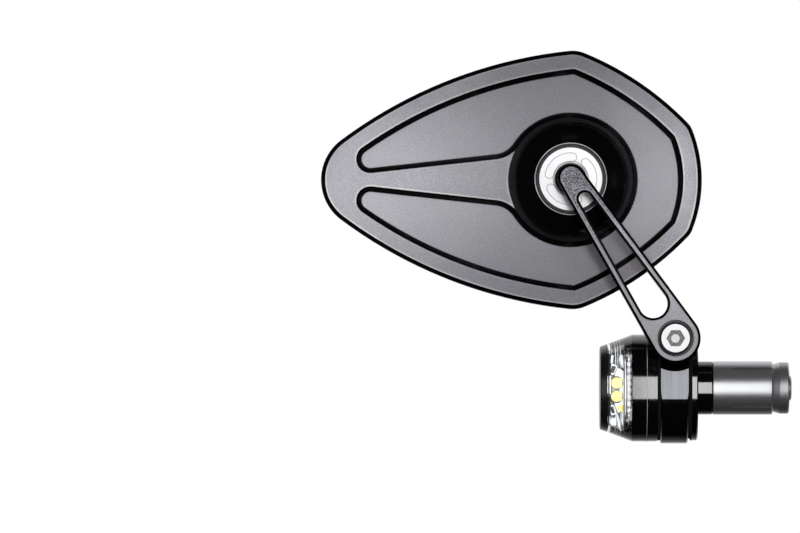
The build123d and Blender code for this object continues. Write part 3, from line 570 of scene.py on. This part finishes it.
def pebble(centre, halves, power=1.0, tilt=0.0):
    """A rounded block: half sizes times powers of sines and cosines of two angles, turned about Y."""
    up = np.linspace(-np.pi / 2, np.pi / 2, pebble_rows)[:, None]
    across = full_turn(pebble_columns)[None, :]

    def eased(value):
        return np.sign(value) * np.abs(value) ** power

    x = halves[0] * eased(np.cos(up)) * eased(np.cos(across))
    y = halves[1] * eased(np.sin(up)) * np.ones_like(across)
    z = halves[2] * eased(np.cos(up)) * eased(np.sin(across))
    turned = (x * np.cos(tilt) - z * np.sin(tilt), y, x * np.sin(tilt) + z * np.cos(tilt))
    return np.stack(turned, axis=-1) + np.array(centre), False, True


def face_outline(node, y, count=240):
    """The rim of a node's flat face at y: its corners in order round their middle, evenly resampled."""
    mesh = nodes[node].data
    points = np.empty(len(mesh.vertices) * 3)
    mesh.vertices.foreach_get("co", points)
    points = points.reshape(-1, 3)
    face = points[np.abs(points[:, 1] - y) < level_error]
    face = np.unique(np.round(face, corner_digits), axis=0)
    middle = face.mean(axis=0)
    face = face[np.argsort(np.arctan2(face[:, 2] - middle[2], face[:, 0] - middle[0]))]
    closed = np.vstack([face, face[:1]])
    reach = np.concatenate([[0], np.cumsum(np.linalg.norm(np.diff(closed, axis=0), axis=1))])
    steps = np.linspace(0, reach[-1], count, endpoint=False)
    return np.stack([np.interp(steps, reach, closed[:, i]) for i in range(3)], axis=-1)


def add_pivot_screw():
    """A turned screw: y and radius along its section, where the socket's radius is half / cos(angle)."""
    angles = full_turn(count=120)
    hexagon = screw_hex_half / np.cos(angles % (np.pi / 3) - np.pi / 6)
    top, tip = screw_low.y, screw_high.y
    seat = top + screw_head_height
    floor = top + screw_hex_depth
    drill = floor + screw_drill_depth
    section = (
        (tip, 0.0),
        (tip, screw_shank_radius - screw_edge_break),
        (tip - screw_edge_break, screw_shank_radius),
        (seat, screw_shank_radius),
        (seat, screw_head_radius),
        (top + screw_edge_break, screw_head_radius),
        (top, screw_head_radius - screw_edge_break),
        (top, hexagon),
        (floor, hexagon),
        (floor, screw_drill_radius),
        (drill, screw_drill_radius),
        (drill, 0.0),
    )
    rows = []
    for y, radius in section:
        reach = np.broadcast_to(radius, len(angles))[:, None]
        rows.append(reach * round_y(angles) + np.array([pivot.x, y, pivot.z]))
    steel = forged_steel("forged_stainless")
    grid = (np.stack(rows), False, True)
    screw = add_piece("socket_head_screw", [grid], steel, "clamp")
    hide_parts("pivot_screw")


# Ring nut: a grey line, painted shade, where each kidney recess meets the white face
kidney_count = 3
kidney_angle = math.radians(6.5)
kidney_sweep = math.radians(82.0)
kidney_width = 2.75 * MM
kidney_radius = 6.95 * MM
kidney_line = 0.1 * MM
kidney_arc_points = 60
kidney_cap_points = 18

# Painted highlights, as pale lines: on the hub's mouth just outside the nut, and on the lens ring against
# the housing
hub_line_radius = 11.42 * MM
hub_line = 0.09 * MM
joint_line_gap = 0.25 * MM
joint_line_sink = 0.02 * MM
joint_line = 0.08 * MM


def kidney_path(middle):
    """A slot along an arc: the outer arc, a half circle, the inner arc back and a half circle."""
    half, width = kidney_sweep / 2, kidney_width / 2
    arc = np.linspace(-half, half, kidney_arc_points)
    cap = np.linspace(0, np.pi, kidney_cap_points)[1:-1]
    first, last = kidney_radius * round_y(np.array([[middle - half], [middle + half]]))
    parts = [
        (kidney_radius + width) * round_y(middle + arc),
        last + width * round_y(middle + half + cap),
        (kidney_radius - width) * round_y(middle + arc[::-1]),
        first + width * round_y(middle - half + np.pi + cap),
    ]
    return np.concatenate(parts)


def add_kidney_edges(material):
    """A grey bead along the rim of each recess: painted shade."""
    start = np.array([ball.x, nut_face_y, ball.z])
    turns = kidney_angle + full_turn(kidney_count)
    grids = [bead(kidney_path(turn) + start, (0, -1, 0), kidney_line) for turn in turns]
    add_piece("kidney_edge_shade", grids, material, "mirror_head")


def add_hub_line(material):
    """A pale bead on a circle on the hub's top face: a painted highlight."""
    circle = hub_line_radius * round_y(full_turn(count=160)) + np.array([ball.x, hub_mouth_y, ball.z])
    line = bead(circle, (0, -1, 0), hub_line)
    add_piece("hub_mouth_highlight", [line], material, "mirror_head")


def add_joint_line(material):
    """A pale bead on a circle round the lamp, almost sunk in the lens ring: a painted highlight."""
    low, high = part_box("lamp_housing")
    line = bar_ring(low.x - joint_line_gap, high.z - joint_line_sink, joint_line)
    add_piece("lamp_joint_highlight", [line], material, "bar_end")


# Lamp core: a drum round the post, by its x and radius at both ends, with the x and thickness of
# each rib. Each end closes in to a small share of its radius, inside the post.
post_flat = 6.28 * MM
core_ends = ((-27.4 * MM, 12.63 * MM), (-23.16 * MM, 14.23 * MM))
core_back = -22.0 * MM
core_closing = 0.01
least_cosine = 1e-6
core_ribs = (
    (-27.1 * MM, 0.12 * MM),
    (-25.9 * MM, 0.16 * MM),
    (-25.2 * MM, 0.1 * MM),
    (-24.3 * MM, 0.12 * MM),
)


def core_section(angles, radius):
    """A circle of this radius with a flat in front and one behind: radius or flat / |cos a|."""
    reach = np.minimum(radius, post_flat / np.maximum(np.abs(np.cos(angles)), least_cosine))
    return round_bar(angles) * reach[:, None]


def add_lamp_core(black, pale):
    """A black drum, and pale ribs that follow its section."""
    angles = full_turn(count=240)
    (x0, r0), (x1, r1) = core_ends
    rows = [(x0, core_closing * r0), (x0, r0), (x1, r1), (core_back, r1), (core_back, core_closing * r1)]
    grid = np.stack([core_section(angles, r) + np.array([x, 0, 0]) for x, r in rows])
    add_piece("lamp_core", [(grid, True, True)], black, "bar_end")
    ribs = []
    for x, thickness in core_ribs:
        radius = r0 + (r1 - r0) * (x - x0) / (x1 - x0)
        path = core_section(angles, radius) + np.array([x, 0, 0])
        ribs.append(bead(path, round_bar(angles), thickness))
    add_piece("core_ribs", ribs, pale, "bar_end")


# Rings behind the lens's rim, as x, radius and thickness. The beads and the pale ring fade out
# where the cosine of the angle from the front falls from the second of fade_cosines to the first.
lens_bead_count = 40
points_per_bead = 12
lens_bead_power = 0.7
lens_bead_row = (-21.5 * MM, 13.7 * MM, 0.78 * MM)
pale_ring = (-22.75 * MM, 13.6 * MM, 0.24 * MM)
black_rings = ((-22.35 * MM, 13.5 * MM, 0.24 * MM), (-23.15 * MM, 13.5 * MM, 0.24 * MM))
fade_cosines = (0.74, 0.82)
least_share = 0.05


def add_light_rings(bright, black):
    """A row of small lenses, whose thickness follows a power of |sin(count x a / 2)|, and its rings."""
    points = lens_bead_count * points_per_bead
    angles = full_turn(points)
    low, high = fade_cosines
    facing = np.clip((np.abs(np.cos(angles)) - low) / (high - low), least_share, 1.0)
    wave = np.abs(np.sin(angles * lens_bead_count / 2)) ** lens_bead_power
    swell = least_share + (1 - least_share) * wave
    x, radius, thickness = lens_bead_row
    row = bar_ring(x, radius, thickness * swell * facing, points)
    x, radius, thickness = pale_ring
    pale = bar_ring(x, radius, thickness * facing, points)
    add_piece("lens_bead_row", [row, pale], bright, "bar_end")
    rings = [bar_ring(*ring) for ring in black_rings]
    add_piece("lens_black_rings", rings, black, "bar_end")


# Bright panes on the cap's spigot, seen through the lens: middle angle and half sweep in degrees
panes = ((4.0, 13.0), (-56.0, 9.0), (62.0, 3.0))
pane_ends = (-28.75 * MM, -27.6 * MM)
pane_radius = 11.91 * MM
pane_depth = 0.09 * MM
pane_points = 24


def add_spigot_panes(white):
    """Thin curved tiles: four corners of a section swept round the bar's axle, closed at each end."""
    x0, x1 = pane_ends
    outer = pane_radius + pane_depth
    corners = ((x0, pane_radius), (x0, outer), (x1, outer), (x1, pane_radius))
    grids = []
    for middle, half in panes:
        out = round_bar(np.radians(np.linspace(middle - half, middle + half, pane_points)))
        sides = np.stack([out * radius + np.array([x, 0, 0]) for x, radius in corners], axis=1)
        first, last = (np.broadcast_to(sides[i].mean(axis=0), (1, 4, 3)) for i in (0, -1))
        grids.append((np.concatenate([first, sides, last]), False, True))
    add_piece("spigot_panes", grids, white, "bar_end")


# Small parts beside the boards, in millimetres: x and z of the middle, half sizes along X and Z,
# and the tilt. Their depths and their own sizes follow in metres.
petals = (
    (-23.7, 8.1, 1.1, 2.2, 0.25),
    (-23.5, -9.2, 0.75, 2.4, 0.0),
    (-24.9, -10.6, 0.5, 3.0, 0.25),
)
chips = ((-26.75, 5.6, 0.7, 1.15, -0.35), (-26.9, -6.9, 0.6, 1.1, 0.35))
blocks = ((-26.6, -10.4, 0.95, 1.15, 0.1), (-27.1, 8.6, 0.35, 1.3, -0.2))
petal_depth = 0.7 * MM
chip_depth = 1.1 * MM
block_depth = 0.8 * MM
boxy = 0.3
chip_frame_level = 0.9 * MM
chip_frame_growth = 1.15
chip_frame_thickness = 0.24 * MM
board_face = 7.5 * MM
board_edge_thickness = 0.13 * MM
disc_shift = 0.3 * MM
disc_level = 0.05 * MM
disc_depth = 0.3 * MM
disc_share = 0.93
disc_roundness = 0.5
patch_middle = (-24.25 * MM, -6.5 * MM)
patch_halves = (1.1 * MM, 0.12 * MM, 1.0 * MM)
patch_tilt = 0.3
dome_ring_share = 1.12
dome_ring_thickness = 0.2 * MM


def blocks_at(rows, y, depth, power):
    """A pebble for each row of x, z, half sizes and tilt, at this place along Y."""
    grids = []
    for x, z, half_x, half_z, tilt in rows:
        grids.append(pebble((x * MM, y, z * MM), (half_x * MM, depth, half_z * MM), power, tilt))
    return grids


def add_post_parts(name, side, bright, black, white):
    """Petals, chips with their frames and blocks on one flat of the post."""
    y = side * post_flat
    grids = blocks_at(petals, y, petal_depth, 1.0)
    add_piece("reflector_petals_" + name, grids, bright, "bar_end")
    grids = blocks_at(chips, y, chip_depth, boxy)
    add_piece("driver_chips_" + name, grids, black, "bar_end")
    grids = blocks_at(blocks, y, block_depth, boxy)
    add_piece("white_blocks_" + name, grids, white, "bar_end")
    frames = []
    for x, z, half_x, half_z, tilt in chips:
        halves = (chip_frame_growth * half_x * MM, 0.0, chip_frame_growth * half_z * MM)
        grown = pebble((x * MM, y + side * chip_frame_level, z * MM), halves, boxy, tilt)[0]
        frames.append(bead(grown[pebble_rows // 2], (0, side, 0), chip_frame_thickness, 6))
    add_piece("chip_frames_" + name, frames, white, "bar_end")


def add_board_parts(name, side, lemon, grey):
    """The board's edge, a phosphor disc and a ring for each dome, and a patch of phosphor."""
    face_y = side * board_face
    out = (0, side, 0)
    edge = bead(face_outline("led_board_" + name, face_y), out, board_edge_thickness)
    add_piece("board_edge_" + name, [edge], grey, "bar_end")
    low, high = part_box("led_domes_" + name)
    radius = (high.x - low.x) / 2
    x = (low.x + high.x) / 2
    discs, rings = [], []
    for z in (low.z + radius, high.z - radius):
        middle = (x + disc_shift, face_y + side * disc_level, z)
        halves = (disc_share * radius, disc_depth, disc_share * radius)
        discs.append(pebble(middle, halves, disc_roundness))
        circle = dome_ring_share * radius * round_y(full_turn(count=64)) + np.array([x, face_y, z])
        rings.append(bead(circle, out, dome_ring_thickness))
    patch = pebble((patch_middle[0], face_y, patch_middle[1]), patch_halves, boxy, patch_tilt)
    add_piece("phosphor_discs_" + name, discs + [patch], lemon, "bar_end")
    add_piece("dome_rings_" + name, rings, grey, "bar_end")


def add_fine_pieces():
    """The screw, the thin lines and the lamp's inside, with their own materials."""
    bright = turned_bright(
        "polished_metallised_plastic", "#f4f4f6", "#e6e6e9", bar_axle, roughness=0.2, metallic=0.3
    )
    pale = turned_bright("satin_aluminium_rib", "#c4c5c8", "#b4b5b8", bar_axle, metallic=0.2)
    black = plain_finish("moulded_black_resin", "#060606", "#0c0c0d", 0.45)
    white = plain_finish("moulded_white_resin", "#e9ebea", "#f3f4f3", 0.35)
    # Painted light: the phosphor glows faintly
    lemon = plain_finish("yellow_phosphor", "#ecd558", "#f7eca4", 0.6, phosphor_mottle, glow=0.08)
    grey = plain_finish("dark_solder", "#3c3c3a", "#555552", 0.4)
    # Painted highlight: pale lines on edges
    highlight_paint = plain_finish("painted_edge_highlight", "#d2d3d6", "#e2e3e5", 0.4)
    # Painted shade: grey lines round the kidney recesses
    recess_shade = plain_finish("painted_recess_shade", "#8d8e90", "#9b9c9e", 0.5)
    add_pivot_screw()
    add_kidney_edges(recess_shade)
    add_hub_line(highlight_paint)
    add_joint_line(highlight_paint)
    add_lamp_core(black, pale)
    add_light_rings(bright, black)
    add_spigot_panes(white)
    for name, side in (("front", -1), ("rear", 1)):
        add_post_parts(name, side, bright, black, white)
        add_board_parts(name, side, lemon, grey)


# Camera: its frame is 256 mm wide on the plane of the bar's axle, and it looks up a little
view_distance = 3.5
view_width = 0.256
view_centre = Vector((-0.09504, 0.0, 0.03888))
view_drop = 0.091
sensor = 36.0
clip_near = 0.1
clip_far = 100.0

# Studio: where the lamps stand, and for each end of the head its side along X, how far that end
# reaches and its lamp's radiance
softbox_x = 0.007
softbox_z = -0.005
softbox_distance = 0.42
side_softbox_place = (-0.30, -0.32, 0.0)
side_softbox_target = (-0.03, 0.0, 0.0)
key_shift = 0.09
key_distance = 1.1
head_ends = ((-1, 0.061, 3.8), (1, 0.058, 4.6))
end_lamp_reach = 0.14
end_lamp_distance = 0.3
fill_distance = 0.35
fill_reach = 0.9

# Studio: the world's light on dull surfaces, the directions along Y between which its wall grows
# white in reflections, and the floor's place, half size, glow and the same stretch along Y
ambient = 0.04
wall_stretch = (0.25, 0.6)
floor_z = -0.22
floor_half = 5.0
floor_glow = 0.72
floor_stretch = (0.1, 0.6)


def add_camera():
    """A long lens that looks along +Y from a little below the mirror."""
    camera = bpy.data.objects.new("camera", bpy.data.cameras.new("camera"))
    camera.location = view_centre + Vector((0.0, -view_distance, -view_drop))
    camera.rotation_euler = (math.pi / 2 + math.atan(view_drop / view_distance), 0.0, 0.0)
    camera.data.sensor_width = sensor
    camera.data.lens = sensor * view_distance / view_width
    camera.data.clip_start = clip_near
    camera.data.clip_end = clip_far
    bpy.context.scene.collection.objects.link(camera)
    bpy.context.scene.camera = camera


def add_softbox(name, place, target, width, height, radiance, reflected=False, spread=180.0):
    """A rectangular lamp that faces its target. It is seen in reflections, or else it gives light
    to dull surfaces; spread is the angle of the grid in front of it."""
    lamp = bpy.data.lights.new(name, "AREA")
    lamp.shape = "RECTANGLE"
    lamp.size = width
    lamp.size_y = height
    lamp.energy = radiance * math.pi * width * height
    lamp.spread = math.radians(spread)
    box = bpy.data.objects.new(name, lamp)
    box.location = place
    aim = Vector(target) - Vector(place)
    box.rotation_euler = aim.to_track_quat("-Z", "Y").to_euler()
    box.visible_camera = False
    box.visible_glossy = reflected
    box.visible_diffuse = not reflected
    bpy.context.scene.collection.objects.link(box)


def add_lights():
    """A tall softbox in front, a dim one beside it, a key light, a lamp at each end of the head and
    two fills."""
    head = (ball.x, 0.0, ball.z)
    front = (softbox_x, -softbox_distance, softbox_z)
    facing = (softbox_x, 0.0, softbox_z)
    add_softbox("front_softbox", front, facing, width=0.042, height=0.364, radiance=10.0, reflected=True)
    beside, facing = side_softbox_place, side_softbox_target
    add_softbox("side_softbox", beside, facing, width=0.1, height=0.3, radiance=1.1, reflected=True)
    key = (ball.x + key_shift, -key_distance, ball.z + key_shift)
    add_softbox("key_light", key, head, width=0.14, height=0.14, radiance=122.0)
    for side, reach, radiance in head_ends:
        end = (ball.x + side * reach, border_y, ball.z)
        place = (ball.x + side * (reach + end_lamp_reach), -end_lamp_distance, ball.z)
        add_softbox("end_light", place, end, width=0.06, height=0.03, radiance=radiance, spread=17.0)
    above = (ball.x, -fill_distance, fill_reach)
    add_softbox("top_fill", above, head, width=0.3, height=0.15, radiance=0.15, reflected=True)
    right = (fill_reach, -fill_distance, ball.z)
    add_softbox("right_fill", right, head, width=0.15, height=0.3, radiance=0.2, reflected=True)


def white_in_sight(tree, place, stretch):
    """1 for the camera and for rays through the lens, and for reflections from 0 to 1 along Y."""
    path = add_node(tree, "LightPath").node.outputs
    direct = (path["Is Camera Ray"], path["Is Transmission Ray"])
    direct = add_node(tree, "Math", direct, operation="MAXIMUM")
    behind = add_node(tree, "MapRange", (add_node(tree, "SeparateXYZ", (place,), "Y"), *stretch))
    mirrored = add_node(tree, "Math", (path["Is Glossy Ray"], behind), operation="MULTIPLY")
    return add_node(tree, "Math", (direct, mirrored), operation="MAXIMUM")


def add_studio():
    """White to the camera; to metal a dark room in front and a white wall behind the object."""
    world = bpy.data.worlds.new("studio")
    world.use_nodes = True
    tree = world.node_tree
    tree.nodes.clear()
    way = add_node(tree, "TexCoord", out="Generated")
    sight = white_in_sight(tree, way, wall_stretch)
    diffuse = add_node(tree, "LightPath", out="Is Diffuse Ray")
    white = linear("#ffffff")
    dim = add_node(tree, "Background", {"Color": white, "Strength": ambient})
    dark = add_node(tree, "Background", {"Color": white, "Strength": 0.0})
    bright = add_node(tree, "Background", {"Color": white, "Strength": 1.0})
    room = add_node(tree, "MixShader", (diffuse, dark, dim))
    seen = add_node(tree, "MixShader", (sight, room, bright))
    add_node(tree, "OutputWorld", {"Surface": seen})
    bpy.context.scene.world = world


# Pale matt floor: white to the camera but for the object's shadow, and dark to what it would light.
def pale_floor(name):
    material, tree, place = new_material(name)
    sight = white_in_sight(tree, place, floor_stretch)
    matt = {"Base Color": linear("#f0f0f0"), "Roughness": 1.0, "Specular IOR Level": 0.0}
    matt = add_node(tree, "BsdfPrincipled", matt)
    glow = add_node(tree, "Emission", {"Color": linear("#ffffff"), "Strength": floor_glow})
    bright = add_node(tree, "AddShader", (matt, glow))
    dark = add_node(tree, "BsdfDiffuse", {"Color": linear("#1c1c1c")})
    surface = add_node(tree, "MixShader", (sight, dark, bright))
    add_node(tree, "OutputMaterial", {"Surface": surface})
    return material


def add_floor():
    """A square floor below the object."""
    mesh = bpy.data.meshes.new("floor")
    sides = [(-1, -1), (1, -1), (1, 1), (-1, 1)]
    corners = [(x * floor_half, y * floor_half, floor_z) for x, y in sides]
    mesh.from_pydata(corners, [], [(0, 1, 2, 3)])
    mesh.materials.append(pale_floor("pale_floor"))
    floor = bpy.data.objects.new("floor", mesh)
    bpy.context.scene.collection.objects.link(floor)


finish_milled_pieces()
finish_turned_pieces()
finish_plain_and_clear_pieces()
add_fine_pieces()
add_camera()
add_lights()
add_studio()
add_floor()
bpy.context.scene.view_settings.view_transform = "Standard"
